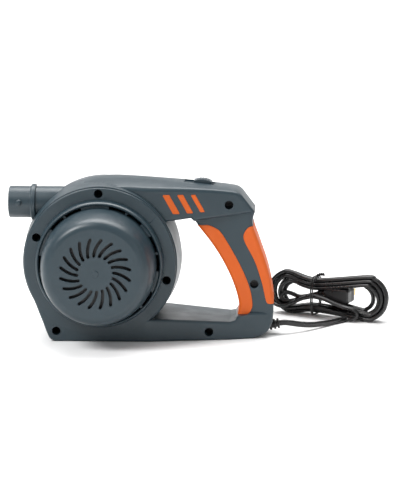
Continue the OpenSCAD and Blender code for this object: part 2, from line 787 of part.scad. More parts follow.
module wires(routes) {
    for (r = routes) sweep(r, 0.9, 0.9, 6);
}

module switch_leads() { color(black) wires([for (r = switch_wires) curve(r, 4)]); }
module motor_leads() { color(black) wires([for (r = motor_wires) curve(r, 4)]); }

// ---- cord ----

// A cylinder along the strain relief's axis, from x0 to x1 along it.
module relief_rod(r, x0, x1, r_end = -1) {
    translate(relief_start) rotate([0, 90 - relief_tilt, 0]) rotate(45) translate([0, 0, x0])
        cylinder(h = x1 - x0, r1 = r, r2 = r_end < 0 ? r : r_end, $fn = 48);
}

module strain_relief_collar(gap) {
    relief_rod(4.9 + gap, 1 - gap, 3 + gap);
}

module strain_relief() {
    color(black) {
        difference() {
            union() {
                relief_rod(4, 0, 22, 3.3);
                strain_relief_collar(0);
                for (x = [8.5, 12.5, 16.5, 20]) relief_rod(5.2 - 0.02 * x, x, x + 2);
            }
            relief_rod(2.2, -1, 8);
        }
    }
}

module inner_cord() {
    color(black) sweep([[124, 0, 8.6], [132, 0, 8.6], [140, 0, 7], relief_start + [1, 0, 0.2]], 1.6, 1.9, 8);
}

module cord_clamp() {
    color(cream) difference() {
        translate([128.5, -5, 2.6]) cube([7, 5 - cord_t / 2, 12.6]);
        for (z = clamp_z) translate([132, -7, z]) rotate([-90, 0, 0]) cylinder(h = 6, r = 1.15, $fn = 24);
    }
}

module cord_lead() {
    color(black) sweep(curve(lead_route, 2), cord_t / 2, cord_w / 2, 8);
}

module at_hank() {
    translate([hank_at[0], hank_at[1], 0]) rotate([0, 0, hank_yaw]) children();
}

// Extrudes an outline of [u, z] points across the hank's thickness.
module hank_slab(v0, v1) {
    translate([0, v1, 0]) rotate([90, 0, 0]) linear_extrude(v1 - v0) children();
}

module cord_hank() {
    r = hank_h / 2;
    half = hank_len / 2 - r;
    mid = (window_z[0] + window_z[1]) / 2;
    color(black) at_hank() hank_slab(-hank_t / 2, hank_t / 2) difference() {
        union() {
            for (s = [-1, 1]) translate([s * half, r]) circle(r);
            polygon([[-half, 0], [tie_u - 2, waist[0]], [tie_u + 2, waist[0]], [half, 0], [half, hank_h],
                [tie_u + 2, waist[1]], [tie_u - 2, waist[1]], [-half, hank_h]]);
        }
        for (s = [-1, 1]) translate([s * half, mid]) circle((window_z[1] - window_z[0]) / 2);
        translate([-half, window_z[0]]) square([2 * half, window_z[1] - window_z[0]]);
    }
}

module cord_tie() {
    color(black) at_hank() {
        hank_slab(-hank_t / 2 - 1, hank_t / 2 + 1) translate([tie_u - 1.5, waist[1]]) square([3, 1]);
        hank_slab(-hank_t / 2 - 1, hank_t / 2 + 1) translate([tie_u - 1.5, waist[0] - 1]) square([3, 1]);
        for (v = [-hank_t / 2 - 1, hank_t / 2]) hank_slab(v, v + 1)
            translate([tie_u - 1.5, waist[0] - 1]) square([3, waist[1] - waist[0] + 2]);
        hank_slab(-2, 2) translate([tie_u - 1.5, waist[1] + 0.9]) square([7, 2.2]);
    }
}

module plug_body() {
    color(black) at_hank() {
        hank_slab(plug_y[0], plug_y[1]) translate([plug_u[0], window_z[0]]) difference() {
            square([plug_u[1] - plug_u[0], plug_h]);
            for (c = [[0, 0], [plug_u[1] - plug_u[0], 0], [plug_u[1] - plug_u[0], plug_h], [0, plug_h]])
                translate(c) rotate(45) square(2.6, center = true);
        }
        translate([plug_u[0] - 9, 0, window_z[0] + plug_h / 2]) rotate([0, 90, 0])
            cylinder(h = 9, r1 = 3, r2 = 4.4, $fn = 32);
    }
}

module plug_pins() {
    u = (plug_u[0] + plug_u[1]) / 2;
    color(brass) at_hank() for (s = [-1, 1])
        translate([u + s * 6.35 - 0.75, plug_y[1], window_z[0] + plug_h / 2 - 3.15]) cube([1.5, 17, 6.3]);
}

// ---- nodes ----

front_shell();
rear_shell();
motor_cover();
outlet_nozzle();
deflate_port();
intake_grille();
front_stripes();
rear_stripes();
front_finger_pad();
rear_finger_pad();
front_palm_pad();
rear_palm_pad();
casing_screws();
cover_screws();
fan_plate();
volute_housing();
plate_screws();
motor_dampers();
mount_screws();
front_bracket();
rear_bracket();
motor_screws();
stator_core();
field_coils();
front_bearing();
rear_bearing();
brush_holders();
carbon_brushes();
brush_springs();
motor_shaft();
armature_core();
armature_coils();
commutator();
cooling_fan();
impeller();
impeller_nut();
switch_slider();
switch_body();
switch_terminals();
capacitor();
switch_leads();
motor_leads();
cord_clamp();
clamp_screws();
inner_cord();
strain_relief();
cord_lead();
cord_hank();
cord_tie();
plug_body();
plug_pins();
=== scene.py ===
"""The looks of a hand-held electric air mattress pump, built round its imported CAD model.

Lengths are in millimetres and angles in degrees. Outlines are (x, z) points measured from the drum's axis,
as in part.scad, and everything is turned into metres where a mesh is made.
"""

import json
from math import atan2, cos, degrees, pi, radians, sin, tan

import bmesh
import bpy
from mathutils import Matrix, Vector


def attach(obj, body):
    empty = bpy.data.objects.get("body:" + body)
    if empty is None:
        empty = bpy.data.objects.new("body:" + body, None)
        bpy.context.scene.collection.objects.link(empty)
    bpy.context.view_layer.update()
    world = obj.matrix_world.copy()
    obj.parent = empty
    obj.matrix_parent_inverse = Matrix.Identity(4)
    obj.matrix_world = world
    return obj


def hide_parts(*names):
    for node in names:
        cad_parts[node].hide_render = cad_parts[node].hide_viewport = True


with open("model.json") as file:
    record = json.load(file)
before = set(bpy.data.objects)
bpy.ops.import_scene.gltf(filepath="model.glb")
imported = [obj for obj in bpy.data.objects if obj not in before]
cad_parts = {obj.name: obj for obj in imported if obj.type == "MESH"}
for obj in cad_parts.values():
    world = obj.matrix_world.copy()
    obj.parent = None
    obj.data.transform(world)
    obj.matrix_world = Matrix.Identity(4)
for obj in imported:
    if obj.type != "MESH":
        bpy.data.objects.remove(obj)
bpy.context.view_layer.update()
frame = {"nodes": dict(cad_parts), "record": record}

MM = 0.001
AXIS = 75.0  # the drum's axis above the base


# ---- camera ----

AZIMUTH, ELEVATION, DISTANCE = 2.2, 11.3, 2000
TARGET = Vector((92, 0, 80.6))


def look_from(azimuth, elevation, distance, target):
    a, e = radians(azimuth), radians(elevation)
    away = Vector((sin(a) * cos(e), -cos(a) * cos(e), sin(e)))
    turn = away.to_track_quat("Z", "Y").to_matrix().to_4x4()
    return Matrix.Translation((target + away * distance) * MM) @ turn


camera = bpy.data.objects.new("camera", bpy.data.cameras.new("camera"))
camera.data.lens = 152
camera.data.sensor_width = 36
camera.data.clip_end = 20
camera.matrix_world = look_from(AZIMUTH, ELEVATION, DISTANCE, TARGET)
bpy.context.scene.collection.objects.link(camera)
bpy.context.scene.camera = camera


# ---- plane geometry ----

def curve(points, n=4):
    """A smooth curve through the points, with n steps between each pair."""
    out = []
    for i in range(len(points) - 1):
        b, c = Vector(points[i]), Vector(points[i + 1])
        a, d = Vector(points[max(i - 1, 0)]), Vector(points[min(i + 2, len(points) - 1)])
        for k in range(n):
            t = k / n
            out.append((2 * b + (c - a) * t + (2 * a - 5 * b + 4 * c - d) * t ** 2
                        + (3 * b - a - 3 * c + d) * t ** 3) / 2)
    return out + [Vector(points[-1])]


def inset(outline, d):
    """An anticlockwise closed outline moved inwards by d."""
    def outward(a, b):
        v = (b - a).normalized()
        return Vector((v.y, -v.x))

    n = len(outline)
    out = []
    for i, p in enumerate(outline):
        m, k = outward(outline[i - 1], p), outward(p, outline[(i + 1) % n])
        out.append(p - (m + k) * (d / (1 + m.dot(k))))
    return out


def rounded(points, closed=False, steps=4):
    """Turns each corner (a, b, radius) into an arc."""
    out, n = [], len(points)
    for i, (a, b, radius) in enumerate(points):
        p = Vector((a, b))
        if not radius or (not closed and i in (0, n - 1)):
            out.append(p)
            continue
        u, v = Vector(points[i - 1][:2]) - p, Vector(points[(i + 1) % n][:2]) - p
        half = u.angle(v) / 2
        reach = min(radius / tan(half), 0.48 * u.length, 0.48 * v.length)
        u, v = u.normalized(), v.normalized()
        centre = p + (u + v).normalized() * reach / cos(half)
        start, end = p + u * reach - centre, p + v * reach - centre
        whole = start.angle(end)
        for k in range(steps + 1):
            w = k / steps
            out.append(centre + (start * sin((1 - w) * whole) + end * sin(w * whole)) / sin(whole))
    return out


def polar(r, angle):
    return Vector((r * cos(radians(angle)), r * sin(radians(angle))))


def between(x, table):
    """The value at x on a line through (x, value) pairs."""
    for (x0, v0), (x1, v1) in zip(table, table[1:]):
        if x <= x1:
            return v0 + (v1 - v0) * max(x - x0, 0) / (x1 - x0)
    return table[-1][1]


# ---- meshes ----

def piece(name, bm, place=None):
    """An object from a bmesh in millimetres, placed by a matrix and lifted to the drum's axis."""
    bmesh.ops.recalc_face_normals(bm, faces=bm.faces)
    bm.transform(Matrix.Scale(MM, 4) @ (place or Matrix.Translation((0, 0, AXIS))))
    mesh = bpy.data.meshes.new(name)
    bm.to_mesh(mesh)
    bm.free()
    obj = bpy.data.objects.new(name, mesh)
    bpy.context.scene.collection.objects.link(obj)
    return obj


def skin(bm, rings, closed=True, caps=True):
    """Faces between rings of vertices, and a face over each end."""
    n = len(rings[0])
    for a, b in zip(rings, rings[1:]):
        for k in range(n if closed else n - 1):
            bm.faces.new((a[k], a[(k + 1) % n], b[(k + 1) % n], b[k]))
    if caps:
        bm.faces.new(rings[0])
        bm.faces.new(reversed(rings[-1]))


def turned(name, profile, place=None, steps=144, ring=False):
    """A body turned round the Y axis from (radius, y) points, which a ring closes on themselves."""
    bm = bmesh.new()
    rows = [[bm.verts.new((r * cos(2 * pi * k / steps), y, r * sin(2 * pi * k / steps))) for k in range(steps)]
            for r, y in (profile + profile[:1] if ring else profile)]
    skin(bm, rows, caps=False)
    bmesh.ops.remove_doubles(bm, verts=bm.verts, dist=1e-4)
    return piece(name, bm, place)


def plate(name, outline, half, edge, back=2.0, crown=None, bands=(), steps=5, place=None):
    """A plate with a rounded front edge. Its front face lies half(x) in front of the parting plane, it runs
    back past that plane, and crown(x, y, z) says how far a point sinks. bands are the x of extra edges."""
    bm = bmesh.new()
    sides = [2, 1.8, 1.6, 1.4, 1.2] if crown else [2]
    rings = [(0, s) for s in sides]
    rings += [(edge * (1 - cos(pi / 2 * k / steps)), 1 - sin(pi / 2 * k / steps)) for k in range(steps + 1)]
    rows = [[bm.verts.new((p.x, s, p.y)) for p in inset(outline, d)] for d, s in rings]
    skin(bm, rows)
    for x in bands:
        bmesh.ops.bisect_plane(bm, geom=bm.verts[:] + bm.edges[:] + bm.faces[:], plane_co=(x, 0, 0), plane_no=(1, 0, 0))
    for v in bm.verts:
        x, s, z = v.co
        y = -half(x) + s * edge if s <= 1 else -(half(x) - edge) * (2 - s) + back * (s - 1)
        v.co = (x, y, z - (crown(x, min(y, 0), z) if crown else 0))
    return piece(name, bm, place)


def prism(name, outline, y0, y1, place=None):
    """An outline extruded from y0 to y1."""
    bm = bmesh.new()
    skin(bm, [[bm.verts.new((p[0], y, p[1])) for p in outline] for y in (y0, y1)])
    return piece(name, bm, place)


def rod(at, r, y0, y1, steps=40, place=None):
    return prism("rod", [Vector(at) + polar(r, 360 * k / steps) for k in range(steps)], y0, y1, place)


def joined(objects):
    """Several meshes as one."""
    bm = bmesh.new()
    for o in objects:
        bm.from_mesh(o.data)
        bpy.data.objects.remove(o)
    mesh = bpy.data.meshes.new("joined")
    bm.to_mesh(mesh)
    bm.free()
    obj = bpy.data.objects.new("joined", mesh)
    bpy.context.scene.collection.objects.link(obj)
    return obj


def boolean(target, tool, operation="DIFFERENCE", keep=False, crossing=False):
    """Applies an exact boolean to target. crossing is for a tool whose parts may cross."""
    modifier = target.modifiers.new("boolean", "BOOLEAN")
    modifier.operation, modifier.object, modifier.solver = operation, tool, "EXACT"
    modifier.use_self = crossing
    bpy.context.view_layer.update()
    mesh = bpy.data.meshes.new_from_object(target.evaluated_get(bpy.context.evaluated_depsgraph_get()))
    target.modifiers.clear()
    target.data = mesh
    if not keep:
        bpy.data.objects.remove(tool)
    return target


def union(first, *others):
    for o in others:
        boolean(first, o, "UNION")
    return first


def mirrored(obj):
    """Turns a front piece into a rear one."""
    bm = bmesh.new()
    bm.from_mesh(obj.data)
    bm.transform(Matrix.Diagonal((1, -1, 1, 1)))
    bmesh.ops.reverse_faces(bm, faces=bm.faces)
    bm.to_mesh(obj.data)
    bm.free()
    return obj


def smoothed(obj, angle=34):
    """Smooth shading with creases at sharp edges, and flat faces that stay flat next to rounded edges."""
    obj.data.shade_smooth()
    obj.data.set_sharp_from_angle(angle=radians(angle))
    weighted = obj.modifiers.new("weighted", "WEIGHTED_NORMAL")
    weighted.keep_sharp = True
    weighted.weight = 90
    return obj


# ---- materials ----

def material(name, colour, rough, grain=900, bump=0.12, depth=0.00004, mottle=0.12, wear=None, metallic=0.0,
             specular=0.5, lines=None, rough_change=0.1):
    """A finish with fine grain in its relief, clouded roughness and colour, and light scuffs."""
    m = bpy.data.materials.new(name)
    m.use_nodes = True
    nodes, links = m.node_tree.nodes, m.node_tree.links
    shader = nodes["Principled BSDF"]
    shader.inputs["Metallic"].default_value = metallic
    shader.inputs["Specular IOR Level"].default_value = specular
    place = nodes.new("ShaderNodeTexCoord").outputs["Object"]

    def noise(scale, detail, source=place):
        node = nodes.new("ShaderNodeTexNoise")
        node.inputs["Scale"].default_value = scale
        node.inputs["Detail"].default_value = detail
        links.new(source, node.inputs["Vector"])
        return node.outputs["Fac"]

    def mapped(value, low, high, to_low, to_high):
        node = nodes.new("ShaderNodeMapRange")
        for key, number in (("From Min", low), ("From Max", high), ("To Min", to_low), ("To Max", to_high)):
            node.inputs[key].default_value = number
        links.new(value, node.inputs["Value"])
        return node.outputs["Result"]

    def mixed(factor, a, b):
        node = nodes.new("ShaderNodeMix")
        node.data_type = "RGBA"
        links.new(factor, node.inputs["Factor"])
        for socket, value in ((node.inputs[6], a), (node.inputs[7], b)):
            if isinstance(value, tuple):
                socket.default_value = value
            else:
                links.new(value, socket)
        return node.outputs[2]

    def shade(amount):
        return tuple(min(c * amount, 1) for c in colour) + (1,)

    clouds = noise(28, 5)
    tone = mixed(mapped(clouds, 0.3, 0.7, 0, 1), shade(1 - mottle), shade(1 + mottle))
    if wear:
        scuffs = noise(60, 8, stretched(nodes, links, place, (1, 0.35, 3.2)))
        tone = mixed(mapped(scuffs, 0.62, 0.8, 0, 0.5), tone, wear + (1,))
    links.new(tone, shader.inputs["Base Color"])
    links.new(mapped(noise(70, 4), 0.3, 0.7, rough - rough_change, rough + rough_change), shader.inputs["Roughness"])
    relief = noise(grain, 3, stretched(nodes, links, place, lines) if lines else place)
    height = nodes.new("ShaderNodeBump")
    height.inputs["Strength"].default_value = bump
    height.inputs["Distance"].default_value = depth
    links.new(relief, height.inputs["Height"])
    links.new(height.outputs["Normal"], shader.inputs["Normal"])
    return m


def stretched(nodes, links, source, scale):
    node = nodes.new("ShaderNodeMapping")
    node.inputs["Scale"].default_value = scale
    links.new(source, node.inputs["Vector"])
    return node.outputs["Vector"]


FINISH = {
    "casing_plastic": material("casing_plastic", (0.0145, 0.0300, 0.0400), 0.38, grain=1500, bump=0.35,
                               mottle=0.05, wear=(0.028, 0.044, 0.053), rough_change=0.05),
    "orange_grip": material("orange_grip", (0.54, 0.088, 0.004), 0.56, grain=1100, bump=0.4, mottle=0.05,
                            wear=(0.56, 0.11, 0.012), rough_change=0.06, specular=0.4),
    "inner_plastic": material("inner_plastic", (0.05, 0.052, 0.055), 0.5, mottle=0.06),
    "steel": material("steel", (0.50, 0.51, 0.53), 0.36, metallic=1.0, grain=700, lines=(1, 1, 6), bump=0.2),
    "core_steel": material("core_steel", (0.30, 0.30, 0.32), 0.45, metallic=1.0, grain=900, lines=(0.1, 4, 0.1),
                           bump=0.6, depth=0.0001),
    "copper": material("copper", (0.62, 0.24, 0.09), 0.34, metallic=1.0, grain=800, lines=(0.4, 0.4, 3), bump=0.6,
                       depth=0.0001),
    "brass": material("brass", (0.70, 0.52, 0.22), 0.3, metallic=1.0, grain=700, lines=(1, 1, 5), bump=0.2),
    "carbon": material("carbon", (0.025, 0.025, 0.03), 0.6, mottle=0.2),
    "black_rubber": material("black_rubber", (0.02, 0.02, 0.022), 0.62, mottle=0.1),
    "black_plastic": material("black_plastic", (0.022, 0.023, 0.025), 0.4, mottle=0.1),
    "cord_black": material("cord_black", (0.0045, 0.0045, 0.005), 0.3, grain=2200, bump=0.2, mottle=0.15,
                           wear=(0.012, 0.012, 0.013)),
}
DARK_SCREW = material("dark_screw", (0.012, 0.012, 0.013), 0.5, grain=900, mottle=0.1, specular=0.3)
SLOTS = {s["node"]: s["material_slot"] for s in frame["record"]["subparts"]}


def finish(obj, slot, body="casing", replaces=()):
    """Gives a piece its finish and its body, and hides the CAD nodes that it stands for."""
    obj.data.materials.clear()
    obj.data.materials.append(FINISH[slot])
    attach(obj, body)
    if replaces:
        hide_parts(*replaces)
    return obj


for node_name, node in frame["nodes"].items():
    node.data.materials.clear()
    node.data.materials.append(DARK_SCREW if node_name == "casing_screws" else FINISH[SLOTS[node_name]])
    smoothed(node, 30)


# ---- cord ----

CORD_W, CORD_T = 5.6, 4.0
LAID_FROM, LAID_OVER = 0.62, 0.3  # where the upright lead starts to turn flat, as parts of its length
HANK_AT, HANK_YAW = Vector((215.4, 73, 0)), radians(-23.6)
HANK = Matrix.Translation(HANK_AT) @ Matrix.Rotation(HANK_YAW, 4, "Z")
TIE_U = -12.4


def hank_point(u, v, z):
    return HANK @ Vector((u, v, z))


def twin_section(across, up):
    """The figure-of-eight section of a flat twin cord round its centre, wide along up."""
    r = CORD_T / 2
    angles = [radians(d) for d in (-38, 0, 35, 65, 90, 115, 145, 180, 218)]
    side = [(r * cos(a), (CORD_W / 2 - r) + r * sin(a)) for a in angles]
    return [across * x + up * z for x, z in side] + [across * -x + up * -z for x, z in side]


# Each turn of the hank: left end, right end, tops at the left lobe, the tie and the right lobe, bottoms there,
# and how far its top and its bottom lie across the hank.
TURNS = [
    (-60.0, 62.8, 42.6, 36.6, 44.4, 2.1, 5.2, 2.9, -3.0, -5.8),
    (-57.8, 60.8, 40.4, 35.6, 42.4, 2.1, 5.2, 2.9, 3.0, 0.0),
    (-55.4, 58.4, 38.4, 32.4, 40.2, 6.2, 9.3, 7.0, -3.1, -5.8),
    (-53.0, 56.4, 36.2, 31.4, 38.2, 2.2, 5.3, 3.0, 3.1, 5.8),
    (-50.8, 53.8, 34.0, 28.2, 36.0, 6.3, 9.4, 7.2, -3.0, 0.0),
    (-48.4, 46.0, 31.4, 27.2, 34.6, 6.4, 9.6, 9.2, 3.0, 5.8),
]


def turn_points(turn):
    """One turn from the tie at the bottom, round the left lobe, over the top and round the right lobe."""
    left, right, top_l, top_t, top_r, low_l, low_t, low_r, v_top, v_low = turn
    centre_l, centre_r = left + (top_l - low_l) * 0.5, right - (top_r - low_r) * 0.5
    points = [(TIE_U, v_low, low_t)]
    for a in (270, 248, 225, 202, 180, 157, 135, 112, 90):
        p = polar(1, a)
        points.append((centre_l + p.x * (centre_l - left), (v_top + v_low) / 2 + p.y * (v_top - v_low) / 2,
                       (top_l + low_l) / 2 + p.y * (top_l - low_l) / 2))
    points.append((TIE_U, v_top, top_t))
    for a in (90, 68, 45, 22, 0, -22, -45, -68, -90):
        p = polar(1, a)
        points.append((centre_r + p.x * (right - centre_r), (v_top + v_low) / 2 + p.y * (v_top - v_low) / 2,
                       (top_r + low_r) / 2 + p.y * (top_r - low_r) / 2))
    return points


LEAD = [(167.5, 0, 10.4), (173, 0.5, 10.8), (179, 2.2, 9.8), (186, 6.0, 8.0), (193, 11.4, 6.2), (200, 17.6, 4.8),
        (207, 24.6, 3.9), (214, 32.0, 3.2), (220.5, 39.0, 2.9), (227, 45.4, 2.9)]
FOLD = [(24.6, -12.5, 2.9), (31.4, -12.2, 3.4), (35.8, -11.8, 7.0), (34.0, -11.8, 11.4), (28.4, -11.7, 13.4),
        (20, -11.6, 14.6), (10, -11.5, 17.2), (0, -11.0, 20.2), (TIE_U, -9.6, 21.6), (-24, -9.2, 17.8),
        (-34, -9.4, 12.6)]
START = [(-43, -9.0, 8.6), (-51, -7.4, 8.4), (-57, -5.2, 12), (-60.4, -3.9, 19)]
END = [(TIE_U, 3.8, 17.4), (-24, 1.6, 16.6), (-36, -1.0, 13.4), (-43.6, -2.2, 12.2), (-47.6, -2.6, 14.0),
       (-48.2, -2.8, 17.8), (-45.0, -2.6, 21.0), (-38, -2.0, 20.2), (-30, -1.2, 17.8), (-20, -0.4, 19.6), (-10.5, 0, 22.6), (-5, 0, 22.75)]

route = [Vector(p) for p in LEAD] + [hank_point(*p) for p in FOLD + START]
for number, t in enumerate(TURNS):
    route += [hank_point(*p) for p in turn_points(t)[6 if number == 0 else 0:]]
route += [hank_point(*p) for p in END]


def along(points, step):
    """Points at even steps along a line."""
    out, left = [points[0]], step
    for a, b in zip(points, points[1:]):
        length = (b - a).length
        while left < length:
            out.append(a.lerp(b, left / length))
            left += step
        left -= length
    return out + [points[-1]]


path = along(curve(route, 8), 1.4)
lead_count = len(LEAD) + 3
lead_length = sum((b - a).length for a, b in zip(route[:lead_count], route[1:lead_count + 1]))


def cord_mesh():
    bm = bmesh.new()
    rows, done = [], 0.0
    across_hank = (HANK.to_3x3() @ Vector((0, 1, 0))).normalized()
    for i, p in enumerate(path):
        t = (path[min(i + 1, len(path) - 1)] - path[max(i - 1, 0)]).normalized()
        done += (p - path[max(i - 1, 0)]).length
        lying = min(max((done - lead_length * LAID_FROM) / (lead_length * LAID_OVER), 0), 1)
        wide = Vector((0, 0, 1)).slerp(across_hank, lying * lying * (3 - 2 * lying))
        up = (wide - t * wide.dot(t)).normalized()
        rows.append([bm.verts.new(p + q) for q in twin_section(t.cross(up), up)])
    skin(bm, rows)
    return piece("mains_cord", bm, Matrix.Identity(4))


cord = cord_mesh()
smoothed(cord, 60)


# ---- casing ----

def outline(*parts):
    return [Vector(p) for part in parts for p in part]


TOP = [(-16, 73.6), (-6, 75.6), (7, 76.6), (20, 76.6), (45, 75.2), (83, 72.2), (106, 69.7), (122, 67.3), (128, 65.6),
       (132, 62.6)]
BACK = [(144.2, 45.8), (142.4, 40), (142.1, 35), (143.2, 28.5)]
GRIP_OUT = [(143.2, 28.5), (149, 12.4), (155.6, -7), (159.6, -24), (161.6, -38), (162.1, -50)]
HEEL = [(161.2, -60), (158, -66.8), (151.6, -72.2), (143, -75)]
GRIP_IN = [(88.5, 36), (92.3, 31.2), (101.7, 19.2), (111.2, 5.2), (120.6, -12.5), (127, -29), (130, -42.2), (129.8, -48)]
GAP_LOW = [(129, -51.5), (126, -56.6), (121, -57.8), (64, -54), (40, -53)]
GAP_TOP = [(40, 36.5), (64.8, 37.8), (84.5, 40.4)]
FINGER_EDGE = [(95, 33.1), (101, 33), (107, 30.4), (112, 26.6), (120.8, 12.8), (132.1, -8.2), (139.6, -27.2),
               (142.1, -41.6), (141, -47.3), (138, -51.3), (131, -52)]
PALM_EDGE = [(144.6, 32.4), (138.5, 31.4), (134.6, 26.5), (133.5, 21.5), (135.9, 14.8), (144.3, -1.4), (150.9, -21.4),
             (154.6, -37.6), (157, -41.6), (163, -41.6)]
SCREWS = [(-0.7, 65.8), (-58.8, 24.2), (62.3, -15.6), (-41.4, -64.8), (101.5, -66.8), (119.9, 53), (143.7, -23)]
STRIPES = [((58, 63), 6.4, 45), ((71.5, 63), 5.7, 45.6), ((84.2, 63), 4.4, 46.6)]
UPPER_HALF = [(-30, 33), (40, 30), (145, 20.5)]
LOWER_HALF = [(42, 40), (120, 28), (147, 21.5), (158, 19), (170, 16)]
GRIP_HALF = 19
PROUD = 0.5
WALL = 2.5
DRUM_R, RIM_R = 75, 71
COVER_R, LIP_R = 53.4, 56.2
SPIGOT_R, BORE_R, OUTLET_Z = 15, 13.2, 51
SCREW_POST_R, SCREW_HEAD_R, SCREW_HOLE_R = 6.1, 4.1, 1.7
MOTOR_HOLE_R = 44
VENT_ANGLES, VENT_APART, VENT_HALF = (12, 62, 125, 189, 253, 315), 9.5, 8.4
INLAY_DEPTH, PAD_GAP, STRIPE_GAP, SLACK = 1.4, 0.22, 0.18, 0.05
FAR = 60  # a depth in front of every face of a casing half

smooth_in, smooth_out = curve(GRIP_IN, 4), curve(GRIP_OUT, 4)
CORE = outline([(40, -75), (143, -75)], curve(HEEL, 4)[::-1][1:], smooth_out[::-1], curve(BACK, 3)[::-1][1:],
               curve(TOP, 3)[::-1], [(-16, 60), (40, 36.5)], GAP_TOP[1:], smooth_in, GAP_LOW)
UPPER = outline(GAP_TOP, [(87.2, 37.6), (92, 38.5), (132, 44), (144.2, 45.8)], curve(TOP, 3)[::-1],
                [(-16, 60)])
LOWER = outline([(-69.2, -17.2), (-49.4, -69.4), (-47, -73.4), (-43, -75), (143, -75)], curve(HEEL, 4)[::-1][1:],
                [(162.1, -50), (129.8, -50)], GAP_LOW[1:], [(20, 10), (0, 0)])


def crown(x, y, z):
    """The upper arm's top falls away to both sides of the parting plane."""
    high = min(max((z - 48) / 16, 0), 1)
    return high * between(x, [(45, 6.2), (130, 1.2)]) * (y / between(x, UPPER_HALF)) ** 2


def drum(depth, grow):
    """One half of the drum with its rim, or the hollow in it where grow is negative."""
    if grow:
        return turned("drum", [(0, 5), (DRUM_R + grow, 5), (DRUM_R + grow, 0), (72 + grow, 3.6 - depth),
                               (RIM_R + grow, 3 - depth), (RIM_R + grow, -grow - depth), (0, -grow - depth)])
    profile = rounded([(0, 2, 0), (DRUM_R, 2, 0), (DRUM_R, 0, 0), (72.2, 4.2 - depth, 0.9), (70.5, 3.9 - depth, 0.3),
                       (70.5, 3.1 - depth, 0.3), (RIM_R, 2.9 - depth, 0.3), (RIM_R, -depth, 1.2), (0, -depth, 0)])
    return turned("drum", [(p.x, p.y) for p in profile])


def half_solid(depth, grow=0):
    edge = 3 if grow == 0 else 0.8
    arms = range(50, 160, 12)

    def half(table):
        return lambda x: min(between(x, table), depth - 0.1) + grow

    return union(
        drum(depth, grow),
        plate("core", inset(CORE, -grow), lambda x: GRIP_HALF + grow, edge, 3 - grow, crown, (0, 40, *arms[:-1])),
        plate("upper", inset(UPPER, -grow), half(UPPER_HALF), edge, 3.3 - grow, crown, (0, 40, *arms[:-1])),
        plate("lower", inset(LOWER, -grow), half(LOWER_HALF), edge * 0.8, 3.6 - grow, None,
              (42, *arms[:-1], 120, 147, 153, 158)))


def switch_frame():
    return Matrix.Translation((94.9, 0, AXIS + 70.6)) @ Matrix.Rotation(radians(4.6), 4, "Y")


def grown_core(d):
    return plate("grown", inset(CORE, -d), lambda x: GRIP_HALF + d, 3 + d, 3, crown, (0, 40, 62, 86, 110))


def pad_column(edge_outline, d):
    return prism("column", inset(edge_outline, -d), -FAR, 1)


FINGER_PAD = outline([(84, 33.2), (95, 33.1)], curve(FINGER_EDGE, 4)[1:],
                     [(126, -52.2), (126, -40), (100, -10)])[::-1]
PALM_PAD = outline(curve(PALM_EDGE, 4), [(172, -41.6), (172, 27)])


def stripe_columns(d):
    out = []
    for (left, top), width, low in STRIPES:
        dx = (top - low) * 0.55
        corners = [(left + dx, low, 0.7), (left + dx + width, low, 0.7), (left + width, top, 0.7), (left, top, 0.7)]
        out.append(prism("stripe", inset(rounded(corners, True, 3), -d), -FAR, -8))
    return joined(out)


def grown_upper(d):
    return plate("grown", inset(UPPER, -d), lambda x: between(x, UPPER_HALF) + d, 3 + d, 3, crown,
                 (0, 40, 62, 86, 110))


def outlet_rod(r, x0, x1):
    place = Matrix.Translation((0, 0, AXIS + OUTLET_Z)) @ Matrix.Rotation(radians(-90), 4, "Z")
    return rod((0, 0), r, x0, x1, 72, place)


RELIEF = (Matrix.Translation((146, 0, 5.8)) @ Matrix.Rotation(radians(-12), 4, "Y")
          @ Matrix.Rotation(radians(-90), 4, "Z"))


def arc_slot(r0, r1, a0, a1, y0, y1):
    points = [polar(r1, a0 + (a1 - a0) * k / 8) for k in range(9)]
    points += [polar(r0, a1 + (a0 - a1) * k / 8) for k in range(9)]
    return prism("vent", points, y0, y1)


def behind_parting(x0):
    """All that lies behind the parting plane, from x0 on."""
    return prism("parting", [(x0, -120), (200, -120), (200, 120), (x0, 120)], -0.1, 40)


